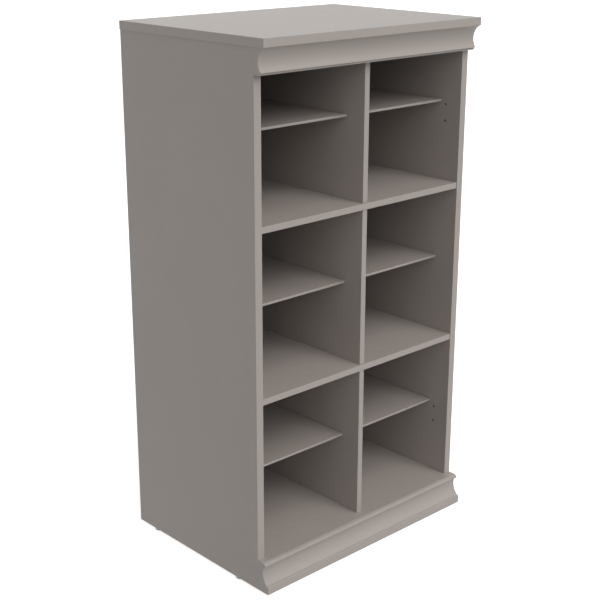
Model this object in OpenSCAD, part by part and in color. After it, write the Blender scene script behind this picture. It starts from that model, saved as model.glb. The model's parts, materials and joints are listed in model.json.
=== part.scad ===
// Two-bay shoe and closet organiser tower: a melamine-faced cabinet with three
// rows, a centre divider in each row, a loose thin shelf in each half row, a
// coved crown under the top panel and a coved plinth at the floor.
// Millimetres. X to the right, front at -Y, +Z up. The origin is at the middle
// of the footprint, on the floor.

/* [Cabinet] */
// Width over the side panels
unit_w = 543;        // [420:1:800]
// Depth of the side panels, front edge to rear edge
side_d = 370;        // [300:1:450]
// Thickness of the side panels
side_t = 16;         // [16:1:19]
// Thickness of the top panel
top_t = 16;          // [15:0.5:22]
// Reach of the top panel past the front edges of the side panels
top_over = 27;       // [26.5:0.5:28]
// Reach of the top panel past the outer face of each side panel
top_side = 1.5;      // [0:0.5:3]
// Thickness of the fixed shelves, the floor panel and the dividers
board_t = 12;        // [12:1:15]
// Thickness of the back panel
back_t = 3;          // [3:0.5:5]
// Clear height of the bottom row and of the middle row
row_h = 304.8;       // [250:0.1:380]
// Clear height of the top row
top_row_h = 303.3;   // [250:0.1:380]

/* [Fronts] */
// Setback of the fixed shelves from the side panels' front edges
fixed_recess = 1;    // [0:0.5:3]
// Setback of the dividers from the side panels' front edges
divider_recess = 4;  // [1:0.5:8]

/* [Thin shelves] */
// Thickness of the loose thin shelves
thin_t = 4.8;        // [4:0.1:6]
// Setback of the thin shelves' front edges
thin_recess = 47;    // [20:1:90]
// Clearance between a thin shelf and the panel beside it
thin_gap = 0.75;     // [0.5:0.05:1.5]
// Height of the shelf pins' axis above the row's floor
pin_z = 151.6;       // [80:0.1:220]
// Diameter of the shelf pins
pin_d = 5;           // [5:0.5:6]
// Length of the shelf pins
pin_l = 14;          // [12:1:16]

/* [Hinge plate holes] */
// Setback of the hinge plate holes from the front edge
hinge_set = 37;      // [30:1:50]
// Distance between the two holes of a pair
hinge_pitch = 32;    // [24:1:50]
// Diameter of the hinge plate holes
hinge_d = 5;         // [3:0.5:6]
// Depth of the hinge plate holes
hinge_depth = 12;    // [8:0.5:13]
// Middle of the lower pair above the floor panel's top
hinge_low = 128;     // [60:1:140]
// Middle of the upper pair below the top panel
hinge_high = 169.9;  // [165:0.1:230]

/* [Feet] */
// Height of the floor glides
glide_h = 5;         // [4:0.5:8]
// Diameter of the floor glides
glide_d = 16;        // [12:0.5:16]

/* [Hidden] */
$fn = 64;
floor_h = 62;            // floor panel's top above the side panels' lower edges
plinth_r = 28;           // reach of the plinth past the front edges
yf = -(plinth_r + side_d + back_t) / 2 + plinth_r;   // front edges of the side panels
yr = yf + side_d;                                    // rear edges of the side panels
yb = yr + back_t;                                    // rear face of the back panel
xi = unit_w / 2 - side_t;                            // inner faces of the side panels
xm = unit_w / 2 - side_t / 2;                        // middle of a side panel's thickness
zp = glide_h;                                        // lower edges of the side panels
zf = zp + floor_h;                                   // top of the floor panel
zt = zf + 2 * (row_h + board_t) + top_row_h;         // underside of the top panel
zh = zt + top_t;                                     // top of the top panel
function row_z(i) = zf + i * (row_h + board_t);      // floor of row i, 0 to 2
ya = yf + 60;            // front row of shelf and top connectors
yc = yr - 60;            // rear row of shelf and top connectors
yd1 = yf + 125;          // front row of board dowels
yd2 = yr - 125;          // rear row of board dowels
yp1 = yf + thin_recess + 30;   // front shelf pins
yp2 = yr - 45;                 // rear shelf pins
pin_in = 5.8;            // depth of a shelf pin in its bore
thin_lift = 0.15;        // air between a pin and the shelf that rests on it
cam_x = 24;              // cam centre from a board's end
top_cam_z = 34;          // cam centre below the top panel
gy = [yf + 62, yf + 318 * side_d / 370];             // floor glides
bx = 130;                // corner blocks from the middle
nail_z = [for (k = [0 : 6]) zp + 40 + k * (zt - zp - 80) / 6];
hinge_z = [zf + hinge_low, zt - hinge_high];

taupe = [0.66, 0.62, 0.59];
taupe_dark = [0.60, 0.57, 0.54];
board_brown = [0.47, 0.34, 0.22];
beech = [0.80, 0.65, 0.45];
zinc = [0.72, 0.72, 0.70];
plastic = [0.80, 0.79, 0.77];

// ---- small helpers -------------------------------------------------------

// rod of diameter d along X from x1 to x2
module rod_x(x1, x2, y, z, d)
    translate([min(x1, x2), y, z]) rotate([0, 90, 0]) cylinder(d = d, h = abs(x2 - x1));

// rod of diameter d along Y from y1 to y2
module rod_y(x, y1, y2, z, d)
    translate([x, max(y1, y2), z]) rotate([90, 0, 0]) cylinder(d = d, h = abs(y2 - y1));

// rod of diameter d along Z from z1 to z2
module rod_z(x, y, z1, z2, d)
    translate([x, y, min(z1, z2)]) cylinder(d = d, h = abs(z2 - z1));

// 2D outline (distance in front of the side panels, height) extruded along X
module along_x(w) translate([-w / 2, yf, 0]) rotate([90, 0, 90])
    linear_extrude(height = w) children();

// bore for a flush nail in the rear face, from the back panel into an edge
module nail_bore(x, z) {
    rod_y(x, yr - 14.5, yb + 1, z, 1.7);
    rod_y(x, yb - 0.7, yb + 1, z, 4.2);
}

// all the nail places as [x, z]
function nail_places() = concat(
    [for (s = [-1, 1], z = nail_z) [s * xm, z]],
    [for (x = [-150, 0, 150]) [x, zh - top_t / 2]],
    [for (x = [-bx, bx], i = [0 : 2]) [x, row_z(i) - board_t / 2]],
    [for (i = [0 : 2]) [0, row_z(i) + row_h / 2]]);

module nail_bores() for (p = nail_places()) nail_bore(p[0], p[1]);

// ---- panels --------------------------------------------------------------

module side_panel(s) {
    difference() {
        translate([s > 0 ? xi : -unit_w / 2, yf, zp])
            cube([side_t, side_d, zt - zp]);
        for (i = [0 : 2]) {
            // connector bolts and dowels of the floor panel and fixed shelves
            for (y = [ya, yc]) rod_x(s * (xi - 1), s * (xi + 11.5), y, row_z(i) - board_t / 2, 5.1);
            for (y = [yd1, yd2]) rod_x(s * (xi - 1), s * (xi + 10.5), y, row_z(i) - board_t / 2, 6.1);
            // shelf pins
            for (y = [yp1, yp2]) rod_x(s * (xi - 1), s * (xi + pin_in + 0.2), y, row_z(i) + pin_z, pin_d + 0.1);
        }
        // hinge plate holes
        for (z = hinge_z, k = [-0.5, 0.5])
            rod_x(s * (xi - 1), s * (xi + hinge_depth), yf + hinge_set, z + k * hinge_pitch, hinge_d);
        // cams of the top panel
        for (y = [ya, yc]) {
            rod_x(s * (xi - 1), s * (xi + 12.7), y, zt - top_cam_z, 15.1);
            rod_z(s * xm, y, zt - top_cam_z, zt + 1, 7.1);
        }
        // dowels of the top panel
        for (y = [yd1, yd2]) rod_z(s * xm, y, zt - 20.5, zt + 1, 8.1);
        // dowels of the crown and of the plinth
        for (z = [zt - 12, zt - 34, zp + 20, zp + 45]) rod_y(s * xm, yf - 1, yf + 20.5, z, 6.1);
        // nails of the floor glides
        for (y = gy) rod_z(s * xm, y, zp - 1, zp + 18.5, 2.1);
        nail_bores();
    }
}

module left_side_panel() color(taupe) side_panel(-1);
module right_side_panel() color(taupe) side_panel(1);

// outline of the cove that runs from the top panel's front edge down into the crown
module crown_cove() translate([-38.8, zt - 23.4]) circle(r = 27.3);

// the lower front edge is cut away by the cove
module top_panel() color(taupe) difference() {
    translate([-unit_w / 2 - top_side, yf - top_over, zt])
        cube([unit_w + 2 * top_side, top_over + side_d, top_t]);
    along_x(unit_w + 2 * top_side + 2) crown_cove();
    for (s = [-1, 1]) {
        for (y = [ya, yc]) rod_z(s * xm, y, zt - 1, zt + 11.5, 5.1);
        for (y = [yd1, yd2]) rod_z(s * xm, y, zt - 1, zt + 10.5, 8.1);
        rod_z(s * bx, yf + 12, zt - 1, zt + 10, 2.9);
    }
    for (y = [ya, yc]) rod_z(0, y, zt - 1, zt + 9.5, 6.1);
    nail_bores();
}

// a board between the side panels whose top is at row i's floor
module fixed_board(i, recess) difference() {
    translate([-xi, yf + recess, row_z(i) - board_t]) cube([2 * xi, side_d - recess, board_t]);
    for (s = [-1, 1]) {
        for (y = [ya, yc]) {
            rod_z(s * (xi - cam_x), y, row_z(i) - board_t - 1, row_z(i) - board_t + 9.5, 12.1);
            rod_x(s * (xi - cam_x), s * (xi + 1), y, row_z(i) - board_t / 2, 7.1);
        }
        for (y = [yd1, yd2]) rod_x(s * (xi - 20.5), s * (xi + 1), y, row_z(i) - board_t / 2, 6.1);
    }
    nail_bores();
}

module floor_panel() color(taupe_dark) difference() {
    fixed_board(0, 0);
    // countersunk screws up into the lower divider
    for (y = [ya, yc]) {
        rod_z(0, y, zf - board_t - 1, zf + 1, 4.2);
        translate([0, y, zf - board_t - 0.01]) cylinder(d1 = 8.4, d2 = 4.2, h = 2.4);
    }
    // screws of the lower corner blocks
    for (s = [-1, 1]) rod_z(s * bx, yf + 12, zf - board_t - 1, zf - board_t + 10, 2.9);
}

// a fixed shelf: the floor board's pattern with divider dowels right through
module fixed_shelf(i) difference() {
    fixed_board(i, fixed_recess);
    for (y = [ya, yc]) rod_z(0, y, row_z(i) - board_t - 1, row_z(i) + 1, 6.1);
}

module lower_fixed_shelf() color(taupe_dark) fixed_shelf(1);
module upper_fixed_shelf() color(taupe_dark) fixed_shelf(2);

module divider(i) difference() {
    h = i < 2 ? row_h : top_row_h;
    translate([-board_t / 2, yf + divider_recess, row_z(i)])
        cube([board_t, side_d - divider_recess, h]);
    for (y = [ya, yc]) {
        rod_z(0, y, row_z(i) + h - 15.5, row_z(i) + h + 1, 6.1);
        if (i == 0) rod_z(0, y, row_z(i) - 1, row_z(i) + 26.5, 4.1);
        else rod_z(0, y, row_z(i) - 1, row_z(i) + 15.5, 6.1);
    }
    for (y = [yp1, yp2]) rod_x(-board_t, board_t, y, row_z(i) + pin_z, pin_d + 0.1);
    nail_bores();
}

module lower_divider() color(taupe_dark) divider(0);
module middle_divider() color(taupe_dark) divider(1);
module upper_divider() color(taupe_dark) divider(2);

module back_panel() color(board_brown) difference() {
    translate([-unit_w / 2 + 3, yr, zp + 3]) cube([unit_w - 6, back_t, zh - zp - 6]);
    nail_bores();
}

// ---- mouldings -----------------------------------------------------------

// crown: a deep cove down to a sharp lip, with a small eased fillet set back under it
module crown_moulding() color(taupe) difference() {
    along_x(unit_w) union() {
        difference() {
            polygon([[0, zt], [-26.2, zt], [-26.2, zt - 40.8], [-13.9, zt - 40.8],
                     [-13.9, zt - 44.1], [-12.7, zt - 44.1], [-12.7, zt - 45.3], [0, zt - 45.3]]);
            crown_cove();
        }
        translate([-12.7, zt - 44.1]) circle(r = 1.2);
    }
    for (s = [-1, 1]) {
        for (z = [zt - 12, zt - 34]) rod_y(s * xm, yf - 9.2, yf + 1, z, 6.1);
        rod_y(s * bx, yf - 10.2, yf + 1, zt - 12, 2.9);
    }
}

// plinth: a sloped bead at the top, a cove, and a square foot with an eased arris
module base_moulding() color(taupe) difference() {
    along_x(unit_w) union() {
        // bead: a flat, a slope and a round shoulder, with a small round below it
        polygon([[0, zp + 62], [-13.5, zp + 62], [-17.9, zp + 60.4], [-16.8, zp + 57.4],
                 [-20, zp + 57.4], [-20, zp + 55], [-18.5, zp + 55], [-18.5, zp + 53.5],
                 [0, zp + 53.5]]);
        translate([-16.8, zp + 57.4]) circle(r = 3.2);
        translate([-18.5, zp + 55]) circle(r = 1.5);
        // cove
        difference() {
            polygon([[0, zp + 54.6], [-26, zp + 54.6], [-26, zp + 15.2], [0, zp + 15.2]]);
            translate([-49.2, zp + 42.4]) circle(r = 35.9);
        }
        // foot
        polygon([[0, zp + 16.2], [-26, zp + 16.2], [-26, zp + 14.2], [-28, zp + 14.2],
                 [-28, zp], [0, zp]]);
        translate([-26, zp + 14.2]) circle(r = 2);
    }
    for (s = [-1, 1]) {
        for (z = [zp + 20, zp + 45]) rod_y(s * xm, yf - 9.2, yf + 1, z, 6.1);
        rod_y(s * bx, yf - 10.2, yf + 1, zf - board_t - 12, 2.9);
    }
}

// ---- loose thin shelves --------------------------------------------------

// side s (-1 left, 1 right) of row i
module thin_shelf(s, i) {
    w = xi - board_t / 2 - 2 * thin_gap;
    translate([s > 0 ? board_t / 2 + thin_gap : -board_t / 2 - thin_gap - w,
               yf + thin_recess, row_z(i) + pin_z + pin_d / 2 + thin_lift])
        cube([w, side_d - thin_recess - 2, thin_t]);
}

module top_left_shelf() color(taupe) thin_shelf(-1, 2);
module top_right_shelf() color(taupe) thin_shelf(1, 2);
module middle_left_shelf() color(taupe) thin_shelf(-1, 1);
module middle_right_shelf() color(taupe) thin_shelf(1, 1);
module bottom_left_shelf() color(taupe) thin_shelf(-1, 0);
module bottom_right_shelf() color(taupe) thin_shelf(1, 0);

// a pin from depth `deep` behind the face at x, towards dir, with eased ends
module shelf_pin(x, dir, y, z) {
    a = x - dir * pin_in;
    rod_x(a + dir * 0.6, a + dir * (pin_l - 0.6), y, z, pin_d);
    translate([a, y, z]) rotate([0, dir * 90, 0]) cylinder(d1 = pin_d - 1.2, d2 = pin_d, h = 0.6);
    translate([a + dir * (pin_l - 0.6), y, z]) rotate([0, dir * 90, 0])
        cylinder(d1 = pin_d, d2 = pin_d - 1.2, h = 0.6);
}

module shelf_pins() color(zinc)
    for (i = [0 : 2], y = [yp1, yp2], s = [-1, 1]) {
        shelf_pin(s * xi, -s, y, row_z(i) + pin_z);
        shelf_pin(s * board_t / 2, s, y, row_z(i) + pin_z);
    }

// ---- connectors ----------------------------------------------------------

// cams in the undersides of the floor panel and fixed shelves
module shelf_cam_locks() color(zinc)
    for (i = [0 : 2], y = [ya, yc], s = [-1, 1]) difference() {
        rod_z(s * (xi - cam_x), y, row_z(i) - board_t, row_z(i) - board_t + 9.3, 12);
        rod_x(s * (xi - cam_x - 3.4), s * (xi - cam_x + 8), y, row_z(i) - board_t / 2, 5.8);
        for (a = [0, 90]) translate([s * (xi - cam_x), y, row_z(i) - board_t]) rotate([0, 0, a])
            cube([7, 1.4, 3], center = true);
    }

module shelf_cam_bolts() color(zinc)
    for (i = [0 : 2], y = [ya, yc], s = [-1, 1]) {
        z = row_z(i) - board_t / 2;
        rod_x(s * xi, s * (xi + 11), y, z, 5);
        rod_x(s * (xi - 1.5), s * xi, y, z, 6.8);
        rod_x(s * (xi - cam_x + 2), s * (xi - 1.5), y, z, 3.6);
        rod_x(s * (xi - cam_x - 2.5), s * (xi - cam_x + 2), y, z, 5.4);
    }

// larger cams in the inner faces of the side panels
module top_cam_locks() color(zinc)
    for (y = [ya, yc], s = [-1, 1]) difference() {
        rod_x(s * xi, s * (xi + 12.4), y, zt - top_cam_z, 15);
        rod_z(s * xm, y, zt - top_cam_z - 4, zt - top_cam_z + 9, 7);
        for (a = [0, 90]) translate([s * xi, y, zt - top_cam_z]) rotate([a, 0, 0])
            cube([4, 9, 1.6], center = true);
    }

module top_cam_bolts() color(zinc)
    for (y = [ya, yc], s = [-1, 1]) {
        rod_z(s * xm, y, zt, zt + 11, 5);
        rod_z(s * xm, y, zt - 1.5, zt, 6.8);
        rod_z(s * xm, y, zt - top_cam_z + 2, zt - 1.5, 4.5);
        rod_z(s * xm, y, zt - top_cam_z - 3, zt - top_cam_z + 2, 6.6);
    }

// wood dowels between the side panels and the boards
module frame_dowels() color(beech) for (s = [-1, 1]) {
    for (i = [0 : 2], y = [yd1, yd2]) rod_x(s * (xi - 20), s * (xi + 10), y, row_z(i) - board_t / 2, 6);
    for (y = [yd1, yd2]) rod_z(s * xm, y, zt - 20, zt + 10, 8);
}

// wood dowels through the fixed shelves, and up into the top panel
module divider_dowels() color(beech) for (y = [ya, yc]) {
    for (i = [1, 2]) rod_z(0, y, row_z(i) - board_t - 15, row_z(i) + 15, 6);
    rod_z(0, y, zt - 15, zt + 9, 6);
}

// wood dowels that hold the crown and plinth to the side panels' front edges
module moulding_dowels() color(beech)
    for (s = [-1, 1], z = [zt - 12, zt - 34, zp + 20, zp + 45]) rod_y(s * xm, yf - 9, yf + 20, z, 6);

// countersunk screws up through the floor panel into the lower divider
module divider_screws() color(zinc) for (y = [ya, yc]) {
    difference() {
        translate([0, y, zf - board_t]) cylinder(d1 = 8, d2 = 4, h = 2.2);
        for (a = [0, 90]) translate([0, y, zf - board_t]) rotate([0, 0, a]) cube([4.4, 0.9, 2.4], center = true);
    }
    rod_z(0, y, zf - board_t + 2.2, zf + 23, 4);
    translate([0, y, zf + 23]) cylinder(d1 = 4, d2 = 1, h = 3);
}

// angle block with its two faces at y = yf and at the height z
module corner_block(x, z) difference() {
    union() {
        translate([x - 10, yf, z - 22]) cube([20, 3.5, 22]);
        translate([x - 10, yf, z - 3.5]) cube([20, 22, 3.5]);
        for (e = [-10, 8]) translate([x + e, yf, z]) rotate([90, 0, 90]) linear_extrude(height = 2)
            polygon([[0, 0], [22, 0], [22, -3.5], [3.5, -22], [0, -22]]);
    }
    rod_y(x, yf - 1, yf + 5, z - 12, 3.8);
    rod_z(x, yf + 12, z - 5, z + 1, 3.8);
}

// inside the crown and inside the plinth
module corner_blocks() color(plastic) for (x = [-bx, bx]) {
    corner_block(x, zt);
    corner_block(x, zf - board_t);
}

// pan-head screws of the corner blocks
module corner_block_screws() color(zinc) for (x = [-bx, bx], z = [zt, zf - board_t]) {
    // forward into the moulding
    rod_y(x, yf - 7, yf + 3.5, z - 12, 2.8);
    translate([x, yf - 7, z - 12]) rotate([90, 0, 0]) cylinder(d1 = 2.8, d2 = 0.8, h = 2.5);
    difference() {
        rod_y(x, yf + 3.5, yf + 5.3, z - 12, 6);
        for (a = [0, 90]) translate([x, yf + 5.3, z - 12]) rotate([0, a, 0]) cube([3.6, 2, 0.8], center = true);
    }
    // up into the panel
    rod_z(x, yf + 12, z - 3.5, z + 6.5, 2.8);
    translate([x, yf + 12, z + 6.5]) cylinder(d1 = 2.8, d2 = 0.8, h = 2.5);
    difference() {
        rod_z(x, yf + 12, z - 5.3, z - 3.5, 6);
        for (a = [0, 90]) translate([x, yf + 12, z - 5.3]) rotate([0, 0, a]) cube([3.6, 0.8, 2], center = true);
    }
}

// flush flat-head nails in the rear of the back panel
module back_panel_nails() color(zinc) for (p = nail_places()) {
    rod_y(p[0], yr - 12.5, yb - 0.6, p[1], 1.6);
    rod_y(p[0], yb - 0.6, yb, p[1], 4);
    translate([p[0], yr - 12.5, p[1]]) rotate([90, 0, 0]) cylinder(d1 = 1.6, d2 = 0.3, h = 1.5);
}

// ---- feet ----------------------------------------------------------------

module floor_glides() color(plastic) for (s = [-1, 1], y = gy) difference() {
    union() {
        rod_z(s * xm, y, 1, zp, glide_d);
        translate([s * xm, y, 0]) cylinder(d1 = glide_d - 2, d2 = glide_d, h = 1);
    }
    rod_z(s * xm, y, -1, 2.4, 5.2);
    rod_z(s * xm, y, 2, zp + 1, 2.1);
}

module glide_nails() color(zinc) for (s = [-1, 1], y = gy) {
    rod_z(s * xm, y, 1.4, 2.4, 5);
    rod_z(s * xm, y, 2.4, zp + 16, 2);
    translate([s * xm, y, zp + 16]) cylinder(d1 = 2, d2 = 0.3, h = 2);
}

left_side_panel();
right_side_panel();
top_panel();
floor_panel();
lower_fixed_shelf();
upper_fixed_shelf();
lower_divider();
middle_divider();
upper_divider();
back_panel();
crown_moulding();
base_moulding();
top_left_shelf();
top_right_shelf();
middle_left_shelf();
middle_right_shelf();
bottom_left_shelf();
bottom_right_shelf();
shelf_pins();
shelf_cam_locks();
shelf_cam_bolts();
top_cam_locks();
top_cam_bolts();
frame_dowels();
divider_dowels();
moulding_dowels();
divider_screws();
corner_blocks();
corner_block_screws();
back_panel_nails();
floor_glides();
glide_nails();
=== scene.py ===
import json
import math

import bmesh
import bpy
from mathutils import Matrix, Vector


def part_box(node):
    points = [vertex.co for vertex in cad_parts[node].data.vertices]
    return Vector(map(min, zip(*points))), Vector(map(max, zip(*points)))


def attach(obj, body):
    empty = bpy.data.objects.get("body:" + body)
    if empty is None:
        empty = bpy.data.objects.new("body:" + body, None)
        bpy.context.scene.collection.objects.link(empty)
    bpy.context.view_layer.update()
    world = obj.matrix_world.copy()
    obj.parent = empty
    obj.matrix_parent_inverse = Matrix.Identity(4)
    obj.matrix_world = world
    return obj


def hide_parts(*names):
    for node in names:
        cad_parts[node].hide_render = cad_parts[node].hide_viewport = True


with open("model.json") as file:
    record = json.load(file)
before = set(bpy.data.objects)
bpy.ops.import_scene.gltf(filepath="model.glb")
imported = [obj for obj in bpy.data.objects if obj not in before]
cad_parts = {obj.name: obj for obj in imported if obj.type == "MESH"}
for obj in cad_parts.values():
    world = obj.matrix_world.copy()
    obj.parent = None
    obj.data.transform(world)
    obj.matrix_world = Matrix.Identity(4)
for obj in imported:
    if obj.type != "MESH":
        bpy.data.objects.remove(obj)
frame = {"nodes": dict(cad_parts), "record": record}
NODES = frame["nodes"]
BODY = {n: b for b, ns in frame["record"]["behaviour"]["bodies"].items() for n in ns}
SLOT = {s["node"]: s["material_slot"] for s in frame["record"]["subparts"]}
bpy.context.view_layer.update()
MM = 0.001
scene = bpy.context.scene
collection = scene.collection

# ---- camera: the photograph's own viewpoint -------------------------------------------------

YAW, PITCH, ROLL = math.radians(43.02), math.radians(-18.32), math.radians(0.15)
look = Vector((math.sin(YAW) * math.cos(PITCH), math.cos(YAW) * math.cos(PITCH), math.sin(PITCH)))
right = Vector((math.cos(YAW), -math.sin(YAW), 0.0))
up = right.cross(look)
cr, sr = math.cos(ROLL), math.sin(ROLL)
right, up = cr * right + sr * up, -sr * right + cr * up
cam_data = bpy.data.cameras.new("Camera")
cam_data.sensor_width = 36.0
cam_data.lens = 73.218
cam_data.clip_start, cam_data.clip_end = 0.05, 400.0
cam = bpy.data.objects.new("Camera", cam_data)
collection.objects.link(cam)
cam.matrix_world = Matrix((
    (right.x, up.x, -look.x, -1.57597),
    (right.y, up.y, -look.y, -1.68291),
    (right.z, up.z, -look.z, 1.23528),
    (0.0, 0.0, 0.0, 1.0)))
scene.camera = cam

# ---- node helpers ---------------------------------------------------------------------------


def lin(r, g, b):
    """sRGB 0..255 to linear"""
    return tuple((v / 255 / 12.92) if v / 255 <= 0.04045 else ((v / 255 + 0.055) / 1.055) ** 2.4
                 for v in (r, g, b))


class Graph:
    """Short calls for building one material's nodes."""

    def __init__(self, name):
        self.mat = bpy.data.materials.new(name)
        self.mat.use_nodes = True
        self.tree = self.mat.node_tree
        self.tree.nodes.clear()
        out = self.tree.nodes.new("ShaderNodeOutputMaterial")
        self.bsdf = self.tree.nodes.new("ShaderNodeBsdfPrincipled")
        self.tree.links.new(self.bsdf.outputs[0], out.inputs["Surface"])
        self.coord = self.tree.nodes.new("ShaderNodeTexCoord").outputs["Object"]
        split = self.tree.nodes.new("ShaderNodeSeparateXYZ")
        self.link(self.coord, split.inputs[0])
        self.axis = [split.outputs[i] for i in range(3)]

    def link(self, a, b):
        self.tree.links.new(a, b)

    def put(self, socket, v):
        if isinstance(v, bpy.types.NodeSocket):
            self.link(v, socket)
        elif isinstance(v, (tuple, list)) and len(v) == 3 and socket.type == "RGBA":
            socket.default_value = (*v, 1.0)
        else:
            socket.default_value = v

    def math(self, op, a, b=0.0, c=None, clamp=False):
        n = self.tree.nodes.new("ShaderNodeMath")
        n.operation, n.use_clamp = op, clamp
        self.put(n.inputs[0], a)
        self.put(n.inputs[1], b)
        if c is not None:
            self.put(n.inputs[2], c)
        return n.outputs[0]

    def stretched(self, sx, sy, sz):
        """object coordinates with each axis scaled"""
        n = self.tree.nodes.new("ShaderNodeVectorMath")
        n.operation = "MULTIPLY"
        self.link(self.coord, n.inputs[0])
        n.inputs[1].default_value = (sx, sy, sz)
        return n.outputs[0]

    def noise(self, scale, detail=2.0, rough=0.5, vector=None, distortion=0.0):
        n = self.tree.nodes.new("ShaderNodeTexNoise")
        self.link(vector or self.coord, n.inputs["Vector"])
        n.inputs["Scale"].default_value = scale
        n.inputs["Detail"].default_value = detail
        n.inputs["Roughness"].default_value = rough
        n.inputs["Distortion"].default_value = distortion
        return n.outputs["Fac"]

    def voronoi(self, scale, feature="F1", vector=None):
        n = self.tree.nodes.new("ShaderNodeTexVoronoi")
        n.feature = feature
        self.link(vector or self.coord, n.inputs["Vector"])
        n.inputs["Scale"].default_value = scale
        return n

    def ramp(self, fac, stops):
        n = self.tree.nodes.new("ShaderNodeValToRGB")
        self.put(n.inputs[0], fac)
        e = n.color_ramp.elements
        while len(e) < len(stops):
            e.new(0.5)
        for el, (p, c) in zip(e, stops):
            el.position, el.color = p, (*c, 1.0)
        return n.outputs[0]

    def mix(self, fac, a, b, kind="MIX"):
        n = self.tree.nodes.new("ShaderNodeMix")
        n.data_type, n.blend_type = "RGBA", kind
        self.put(n.inputs[0], fac)
        self.put(n.inputs[6], a)
        self.put(n.inputs[7], b)
        return n.outputs[2]

    def mixf(self, fac, a, b):
        n = self.tree.nodes.new("ShaderNodeMix")
        n.data_type = "FLOAT"
        self.put(n.inputs[0], fac)
        self.put(n.inputs[2], a)
        self.put(n.inputs[3], b)
        return n.outputs[0]

    def remap(self, v, a, b, lo=0.0, hi=1.0):
        n = self.tree.nodes.new("ShaderNodeMapRange")
        n.inputs["From Min"].default_value, n.inputs["From Max"].default_value = lo, hi
        n.inputs["To Min"].default_value, n.inputs["To Max"].default_value = a, b
        self.link(v, n.inputs["Value"])
        return n.outputs[0]

    def bump(self, height, distance, strength=1.0, normal=None):
        n = self.tree.nodes.new("ShaderNodeBump")
        n.inputs["Strength"].default_value = strength
        n.inputs["Distance"].default_value = distance
        self.link(height, n.inputs["Height"])
        if normal is not None:
            self.link(normal, n.inputs["Normal"])
        return n.outputs[0]

    def beyond(self, axis, side, limit, soft=0.00006):
        """1 where the coordinate is further out than limit on that side"""
        v = self.axis[axis] if side > 0 else self.math("MULTIPLY", self.axis[axis], -1.0)
        edge = limit if side > 0 else -limit
        n = self.tree.nodes.new("ShaderNodeMapRange")
        n.inputs["From Min"].default_value, n.inputs["From Max"].default_value = edge - soft, edge + soft
        self.link(v, n.inputs["Value"])
        return n.outputs[0]

    def finish(self, color, rough, normal=None, **fixed):
        self.put(self.bsdf.inputs["Base Color"], color)
        self.put(self.bsdf.inputs["Roughness"], rough)
        if normal is not None:
            self.link(normal, self.bsdf.inputs["Normal"])
        for k, v in fixed.items():
            self.bsdf.inputs[k.replace("_", " ")].default_value = v
        return self.mat


TAUPE = (0.363, 0.324, 0.300)      # linear base colour of the faced boards
RAW_DARK, RAW_MID, RAW_PALE = lin(112, 82, 54), lin(152, 118, 82), lin(190, 160, 122)

# ---- materials ------------------------------------------------------------------------------


def facing(g, tint):
    """colour, roughness and height of taupe melamine: soft mottling, fine flecks, a faint pearl texture"""
    base = tuple(c * t for c, t in zip(TAUPE, tint))
    cloud = g.noise(5.5, 3.0, 0.55)
    fleck = g.noise(900.0, 3.0, 0.6)
    speck = g.voronoi(560.0).outputs["Distance"]
    dark = tuple(c * 0.986 for c in base)
    pale = tuple(min(1.0, c * 1.018) for c in base)
    color = g.ramp(cloud, [(0.30, dark), (0.70, pale)])
    color = g.mix(g.remap(fleck, 0.0, 0.38, 0.50, 0.66), color, tuple(c * 0.72 for c in base))
    color = g.mix(g.remap(speck, 0.45, 0.0, 0.04, 0.24), color, tuple(min(1.0, c * 1.30) for c in base))
    rough = g.math("ADD", g.remap(g.noise(38.0, 2.0), 0.43, 0.50), g.remap(fleck, -0.03, 0.03))
    height = g.math("ADD", g.math("MULTIPLY", g.noise(1500.0, 3.0, 0.65), 0.8),
                    g.math("MULTIPLY", g.noise(16.0, 2.0), 1.6))
    return color, rough, height


def chipboard(g, vector=None):
    """colour, roughness and height of a raw particle board edge: pressed flakes and dark pores"""
    v = vector or g.coord
    cells = g.voronoi(520.0, vector=v)
    tone = g.tree.nodes.new("ShaderNodeSeparateColor")
    g.link(cells.outputs["Color"], tone.inputs[0])
    color = g.ramp(tone.outputs[0], [(0.0, RAW_DARK), (0.42, RAW_MID), (0.80, RAW_PALE), (1.0, RAW_MID)])
    grain = g.noise(1500.0, 3.0, 0.65, vector=v)
    color = g.mix(g.remap(grain, 0.0, 0.55, 0.45, 0.75), color, RAW_DARK)
    height = g.math("ADD", g.math("MULTIPLY", cells.outputs["Distance"], -2.2), grain)
    rough = g.remap(grain, 0.78, 0.95)
    return color, rough, height


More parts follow.
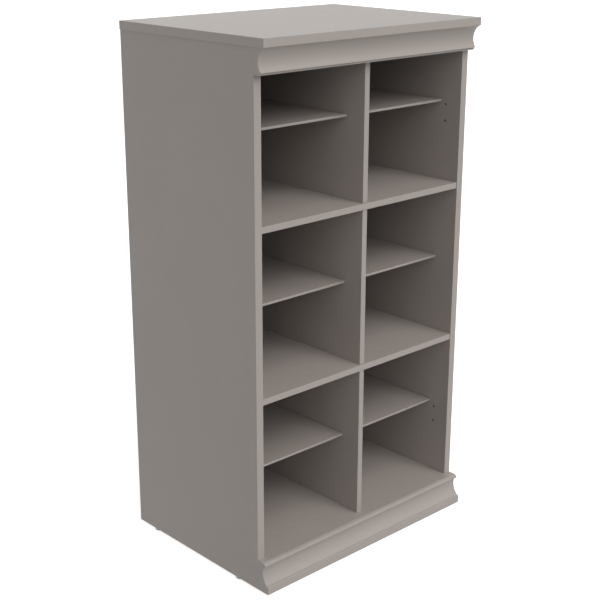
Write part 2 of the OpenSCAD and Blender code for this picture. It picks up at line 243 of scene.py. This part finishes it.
def board_material(node, thin, banded, tint=(1.0, 1.0, 1.0), shaped=0.0):
    """A faced particle board: facing on its two faces, edge banding where named, raw flakes on its other edges and in its bores.
    thin is the axis through the board; banded lists (axis, side) of the banded edges. shaped is how far (mm) a shaped
    front edge, which is faced too, reaches back."""
    lo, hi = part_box(node)
    g = Graph(node + "_board")
    inside = g.math("MULTIPLY", g.beyond(thin, 1, lo[thin] + 0.28 * MM), g.beyond(thin, -1, hi[thin] - 0.28 * MM))
    band = seam = None
    for axis, side in banded:
        edge = hi[axis] if side > 0 else lo[axis]
        b = g.beyond(axis, side, edge - side * 0.62 * MM)
        s = g.math("MULTIPLY", g.beyond(axis, side, edge - side * 0.74 * MM), g.math("SUBTRACT", 1.0, b))
        band = b if band is None else g.math("MAXIMUM", band, b)
        seam = s if seam is None else g.math("MAXIMUM", seam, s)
    raw = inside if band is None else g.math("MULTIPLY", inside, g.math("SUBTRACT", 1.0, band))
    if shaped:
        raw = g.math("MULTIPLY", raw, g.beyond(1, 1, lo[1] + shaped * MM))
    c1, r1, h1 = facing(g, tint)
    c2, r2, h2 = chipboard(g)
    if band is not None:
        # the banding is a shade smoother, with a hairline of glue behind it
        c1 = g.mix(g.math("MULTIPLY", band, 0.35), c1, tuple(min(1.0, c * t * 1.03) for c, t in zip(TAUPE, tint)))
        r1 = g.mixf(g.math("MULTIPLY", band, 0.6), r1, 0.40)
        c1 = g.mix(g.math("MULTIPLY", seam, 0.30), c1, tuple(c * 0.55 for c in TAUPE))
    color = g.mix(raw, c1, c2)
    rough = g.mixf(raw, r1, r2)
    n1 = g.bump(h1, 0.05 * MM, 0.7)
    normal = g.bump(g.math("MULTIPLY", raw, h2), 0.25 * MM, 0.7, n1)
    return g.finish(color, rough, normal, Specular_IOR_Level=0.42)


def moulding_material(name):
    """Foil-wrapped fibreboard: the boards' colour, a little smoother, with raw fibre at the back."""
    g = Graph(name + "_foil")
    lo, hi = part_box(name)
    c1, r1, h1 = facing(g, (1.0, 1.0, 1.0))
    fibre = g.noise(900.0, 4.0, 0.7, vector=g.stretched(0.25, 1.0, 1.0))
    c2 = g.ramp(fibre, [(0.3, lin(138, 108, 76)), (0.7, lin(180, 150, 114))])
    raw = g.beyond(1, 1, hi[1] - 0.03 * MM, soft=0.01 * MM)
    color = g.mix(raw, c1, c2)
    rough = g.mixf(raw, g.math("SUBTRACT", r1, 0.02), 0.85)
    n1 = g.bump(h1, 0.045 * MM, 0.65)
    normal = g.bump(g.math("MULTIPLY", raw, fibre), 0.12 * MM, 0.6, n1)
    return g.finish(color, rough, normal, Specular_IOR_Level=0.45)


def thin_material(name):
    """Thin shelf: painted hardboard, with brown fibre left on the two ends and the rear edge."""
    g = Graph(name + "_hardboard")
    lo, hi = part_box(name)
    c1, r1, h1 = facing(g, (0.985, 0.985, 0.985))
    fibre = g.noise(1300.0, 4.0, 0.7)
    c2 = g.ramp(fibre, [(0.3, lin(96, 70, 46)), (0.7, lin(142, 110, 78))])
    inside = g.math("MULTIPLY", g.beyond(2, 1, lo[2] + 0.2 * MM), g.beyond(2, -1, hi[2] - 0.2 * MM))
    front = g.beyond(1, -1, lo[1] + 0.5 * MM)
    raw = g.math("MULTIPLY", inside, g.math("SUBTRACT", 1.0, front))
    color = g.mix(raw, c1, c2)
    rough = g.mixf(raw, r1, 0.85)
    n1 = g.bump(h1, 0.055 * MM, 0.7)
    normal = g.bump(g.math("MULTIPLY", raw, fibre), 0.1 * MM, 0.6, n1)
    return g.finish(color, rough, normal, Specular_IOR_Level=0.40)


def back_material(name):
    """Back panel: painted inside, plain brown hardboard with its screen pattern outside."""
    g = Graph(name + "_hardboard")
    lo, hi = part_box(name)
    c1, r1, h1 = facing(g, (0.97, 0.97, 0.97))
    fibre = g.noise(700.0, 5.0, 0.72, distortion=0.6)
    cloud = g.noise(9.0, 4.0, 0.6)
    c2 = g.ramp(fibre, [(0.28, lin(104, 78, 52)), (0.5, lin(134, 103, 70)), (0.72, lin(160, 128, 92))])
    c2 = g.mix(g.remap(cloud, 0.0, 0.30, 0.3, 0.7), c2, lin(116, 88, 60))
    # fine woven-wire imprint, 2.4 mm apart
    k = 2 * math.pi / (2.4 * MM)
    wire = g.math("MULTIPLY", g.math("SINE", g.math("MULTIPLY", g.axis[0], k)),
                  g.math("SINE", g.math("MULTIPLY", g.axis[2], k)))
    rear = g.beyond(1, 1, lo[1] + 0.3 * MM)
    color = g.mix(rear, c1, c2)
    rough = g.mixf(rear, r1, g.remap(fibre, 0.72, 0.90))
    n1 = g.bump(h1, 0.055 * MM, 0.7)
    relief = g.math("ADD", g.math("MULTIPLY", wire, 0.5), g.math("MULTIPLY", fibre, 1.2))
    normal = g.bump(g.math("MULTIPLY", rear, relief), 0.09 * MM, 0.6, n1)
    return g.finish(color, rough, normal, Specular_IOR_Level=0.35)


def zinc_material():
    """Bright zinc plate: slight spangle, a fine bumpy texture and handling marks."""
    g = Graph("zinc_plate")
    spangle = g.voronoi(900.0)
    tone = g.tree.nodes.new("ShaderNodeSeparateColor")
    g.link(spangle.outputs["Color"], tone.inputs[0])
    color = g.ramp(tone.outputs[0], [(0.0, (0.52, 0.53, 0.52)), (1.0, (0.70, 0.70, 0.67))])
    stain = g.noise(240.0, 4.0, 0.6)
    color = g.mix(g.remap(stain, 0.0, 0.35, 0.45, 0.80), color, (0.44, 0.43, 0.38))
    rough = g.math("ADD", g.remap(stain, 0.24, 0.40), g.remap(tone.outputs[1], -0.03, 0.03))
    normal = g.bump(g.noise(2600.0, 3.0, 0.6), 0.02 * MM, 0.35)
    return g.finish(color, rough, normal, Metallic=1.0)


def beech_material():
    """Beech dowel: pale fibre with short darker flecks."""
    g = Graph("beech_wood")
    rays = g.noise(900.0, 3.0, 0.6, vector=g.stretched(1.0, 0.35, 0.5))
    rings = g.noise(150.0, 2.0, 0.5, distortion=0.8)
    color = g.ramp(rings, [(0.3, lin(196, 158, 112)), (0.7, lin(222, 190, 146))])
    color = g.mix(g.remap(rays, 0.0, 0.6, 0.55, 0.72), color, lin(160, 118, 78))
    normal = g.bump(rays, 0.06 * MM, 0.5)
    return g.finish(color, g.remap(rays, 0.55, 0.72), normal)


def plastic_material():
    """Moulded light grey plastic: eroded texture with slightly paler, rougher high spots."""
    g = Graph("light_plastic")
    grit = g.noise(1700.0, 3.0, 0.65)
    cloud = g.noise(60.0, 3.0)
    color = g.ramp(cloud, [(0.3, lin(196, 194, 188)), (0.7, lin(206, 203, 198))])
    color = g.mix(g.remap(grit, 0.0, 0.35, 0.5, 0.8), color, lin(220, 218, 213))
    normal = g.bump(grit, 0.05 * MM, 0.6)
    return g.finish(color, g.remap(grit, 0.42, 0.62), normal)


# ---- eased boards ---------------------------------------------------------------------------


def shade(me, limit=35):
    """Corner normals: at a corner, the faces that turn by less than `limit` degrees from its own face share one normal,
    weighed by area. Large flats stay flat, arcs and eased edges are smooth, and every harder crease stays crisp."""
    around = {}
    for p in me.polygons:
        p.use_smooth = True
        for v in p.vertices:
            around.setdefault(v, []).append((p.normal.copy(), p.area))
    least = math.cos(math.radians(limit))
    normals = [None] * len(me.loops)
    for p in me.polygons:
        own = p.normal.copy()
        for i in p.loop_indices:
            total = Vector()
            for normal, area in around[me.loops[i].vertex_index]:
                if normal.dot(own) > least:
                    total += normal * area
            normals[i] = total.normalized() if total.length > 0 else own
    me.normals_split_custom_set(normals)


def eased_copy(node, weigh, wide, segments=3, merge=0.001, clamp=True):
    """The node's own solid with some of its edges eased, as a new piece that stands for it. weigh(edge, planes) gives an
    edge's share of `wide` (mm); planes are the sides of the node's box, as (axis, side), that the edge lies in."""
    lo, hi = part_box(node)
    bm = bmesh.new()
    bm.from_mesh(NODES[node].data)
    bmesh.ops.remove_doubles(bm, verts=bm.verts, dist=merge * MM)
    bmesh.ops.dissolve_limit(bm, angle_limit=math.radians(0.1), use_dissolve_boundaries=False,
                             verts=bm.verts, edges=bm.edges, delimit=set())
    weight = bm.edges.layers.float.new("bevel_weight_edge")
    eps = 2e-5

    def planes(v):
        return {(a, s) for a in range(3) for s, e in ((-1, lo[a]), (1, hi[a])) if abs(v.co[a] - e) < eps}

    for e in bm.edges:
        if len(e.link_faces) == 2:
            e[weight] = weigh(e, planes(e.verts[0]) & planes(e.verts[1]))
    me = bpy.data.meshes.new(node + "_eased")
    bm.to_mesh(me)
    bm.free()
    ob = bpy.data.objects.new(node + "_eased", me)
    collection.objects.link(ob)
    mod = ob.modifiers.new("ease", "BEVEL")
    mod.limit_method, mod.width, mod.segments = "WEIGHT", wide * MM, segments
    mod.use_clamp_overlap, mod.harden_normals = clamp, False
    bpy.context.view_layer.update()
    done = bpy.data.meshes.new_from_object(ob.evaluated_get(bpy.context.evaluated_depsgraph_get()))
    ob.modifiers.clear()
    ob.data = done
    bpy.data.meshes.remove(me)
    done.name = node + "_eased"
    for v in done.vertices:
        v.co = [min(max(c, a), b) for c, a, b in zip(v.co, lo, hi)]
    done.materials.clear()
    shade(done)
    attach(ob, BODY[node])
    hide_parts(node)
    return ob


def outer_edges(banded, fine, wide):
    """weigh for a board: its outer edges, in full where they are banded and `fine` where they are only cut. Bores keep
    their sharp rims."""
    def weigh(edge, planes):
        long_lip = (len(planes) == 1 and planes & set(banded) and edge.calc_length() > 0.3
                    and edge.calc_face_angle(0.0) > math.radians(12))
        return fine / wide if long_lip else 0.0 if len(planes) != 2 else 1.0 if planes & set(banded) else fine / wide
    return weigh


def arrises(joined):
    """weigh for a moulding: the ends' outlines and the profile's own sharp corners, but nothing in the sides that are
    joined to other boards"""
    def weigh(edge, planes):
        sharp = edge.is_convex and edge.calc_face_angle(0.0) > math.radians(12)
        return 1.0 if sharp and not planes & joined else 0.0
    return weigh


X, Y, Z = 0, 1, 2
BOARDS = {
    "left_side_panel": (X, [(Y, -1)]),
    "right_side_panel": (X, [(Y, -1)]),
    "top_panel": (Z, [(Y, -1), (X, -1), (X, 1)]),
    "floor_panel": (Z, [(Y, -1)]),
    "lower_fixed_shelf": (Z, [(Y, -1)]),
    "upper_fixed_shelf": (Z, [(Y, -1)]),
    "lower_divider": (X, [(Y, -1)]),
    "middle_divider": (X, [(Y, -1)]),
    "upper_divider": (X, [(Y, -1)]),
}
for name, (thin, banded) in BOARDS.items():
    piece = eased_copy(name, outer_edges(banded, 0.25, 0.55), 0.55)
    piece.data.materials.append(board_material(name, thin, banded, shaped=3.0 if name == "top_panel" else 0.0))

for name in [n for n in NODES if n.endswith("_shelf") and "fixed" not in n]:
    piece = eased_copy(name, outer_edges([(Y, -1)], 0.3, 0.8), 0.8)
    piece.data.materials.append(thin_material(name))

for name, joined in (("crown_moulding", {(Y, 1), (Z, 1)}), ("base_moulding", {(Y, 1)})):
    piece = eased_copy(name, arrises(joined), 0.3, segments=3, merge=0.03, clamp=False)
    piece.data.materials.append(moulding_material(name))


def finish_node(name, mat):
    slots = NODES[name].data.materials
    slots.clear()
    slots.append(mat)


finish_node("back_panel", back_material("back_panel"))
zinc, beech, plastic = zinc_material(), beech_material(), plastic_material()
for name, slot in SLOT.items():
    if slot in ("zinc_steel", "beech", "light_plastic"):
        finish_node(name, {"zinc_steel": zinc, "beech": beech, "light_plastic": plastic}[slot])

# ---- floor and light ------------------------------------------------------------------------


def make_floor():
    bm = bmesh.new()
    bmesh.ops.create_grid(bm, x_segments=1, y_segments=1, size=60.0)
    me = bpy.data.meshes.new("studio_floor")
    bm.to_mesh(me)
    bm.free()
    ob = bpy.data.objects.new("studio_floor", me)
    ob.location = (0.0, 0.0, -0.0002)
    collection.objects.link(ob)
    g = Graph("studio_floor")
    tone = g.noise(1.3, 2.0)
    g.finish(g.ramp(tone, [(0.3, (0.50, 0.50, 0.50)), (0.7, (0.52, 0.52, 0.52))]), 0.9, Specular_IOR_Level=0.1,
             Emission_Color=(1.0, 1.0, 1.0, 1.0), Emission_Strength=0.80)
    me.materials.append(g.mat)
    ob.visible_diffuse = False
    ob.visible_glossy = False
    ob.visible_shadow = False
    return ob


floor = make_floor()


def sun(name, azimuth, elevation, strength, angle, color=(1.0, 1.0, 1.0)):
    """A large soft light in the sky: azimuth 0 is in front of the cabinet (-Y), 90 to its right (+X)"""
    data = bpy.data.lights.new(name, "SUN")
    data.energy, data.angle, data.color = strength, math.radians(angle), color
    ob = bpy.data.objects.new(name, data)
    a, e = math.radians(azimuth), math.radians(elevation)
    to_light = Vector((math.sin(a) * math.cos(e), -math.cos(a) * math.cos(e), math.sin(e)))
    ob.rotation_mode = "QUATERNION"
    ob.rotation_quaternion = to_light.to_track_quat("Z", "Y")
    ob.location = to_light * 5
    collection.objects.link(ob)
    return ob


sun("front high", 0, 60, 0.942, 40)
sun("front", 0, 35, 1.252, 40)
sun("front right", 30, 35, 0.296, 40)
sun("front low", -30, 12, 0.302, 40)
sun("left low", -65, 12, 0.455, 40)


def make_world():
    """Wide soft glows: from the right, from behind and from below, in place of a studio's walls and floor"""
    world = bpy.data.worlds.new("studio")
    scene.world = world
    world.use_nodes = True
    t = world.node_tree
    t.nodes.clear()
    coord = t.nodes.new("ShaderNodeTexCoord").outputs["Generated"]
    total = None
    for direction, strength in (((1, 0, 0), 1.199), ((0, 1, 0), 1.583), ((0, 0, -1), 0.903)):
        dot = t.nodes.new("ShaderNodeVectorMath")
        dot.operation = "DOT_PRODUCT"
        t.links.new(coord, dot.inputs[0])
        dot.inputs[1].default_value = direction
        above = t.nodes.new("ShaderNodeMath")
        above.operation = "MAXIMUM"
        t.links.new(dot.outputs["Value"], above.inputs[0])
        above.inputs[1].default_value = 0.0
        square = t.nodes.new("ShaderNodeMath")
        square.operation = "POWER"
        t.links.new(above.outputs[0], square.inputs[0])
        square.inputs[1].default_value = 2.0
        part = t.nodes.new("ShaderNodeMath")
        part.operation = "MULTIPLY_ADD"
        t.links.new(square.outputs[0], part.inputs[0])
        part.inputs[1].default_value = strength
        part.inputs[2].default_value = 0.0
        if total is not None:
            t.links.new(total, part.inputs[2])
        total = part.outputs[0]
    glow = t.nodes.new("ShaderNodeBackground")
    glow.inputs["Color"].default_value = (1.0, 1.0, 0.991, 1.0)
    t.links.new(total, glow.inputs["Strength"])
    seen = t.nodes.new("ShaderNodeBackground")
    seen.inputs["Color"].default_value = (1.0, 1.0, 1.0, 1.0)
    path = t.nodes.new("ShaderNodeLightPath")
    pick = t.nodes.new("ShaderNodeMixShader")
    t.links.new(path.outputs["Is Camera Ray"], pick.inputs[0])
    t.links.new(glow.outputs[0], pick.inputs[1])
    t.links.new(seen.outputs[0], pick.inputs[2])
    out = t.nodes.new("ShaderNodeOutputWorld")
    t.links.new(pick.outputs[0], out.inputs[0])


make_world()
scene.view_settings.view_transform = "Standard"
scene.view_settings.look = "None"
scene.cycles.max_bounces = 8
scene.cycles.diffuse_bounces = 6
scene.cycles.use_denoising = True
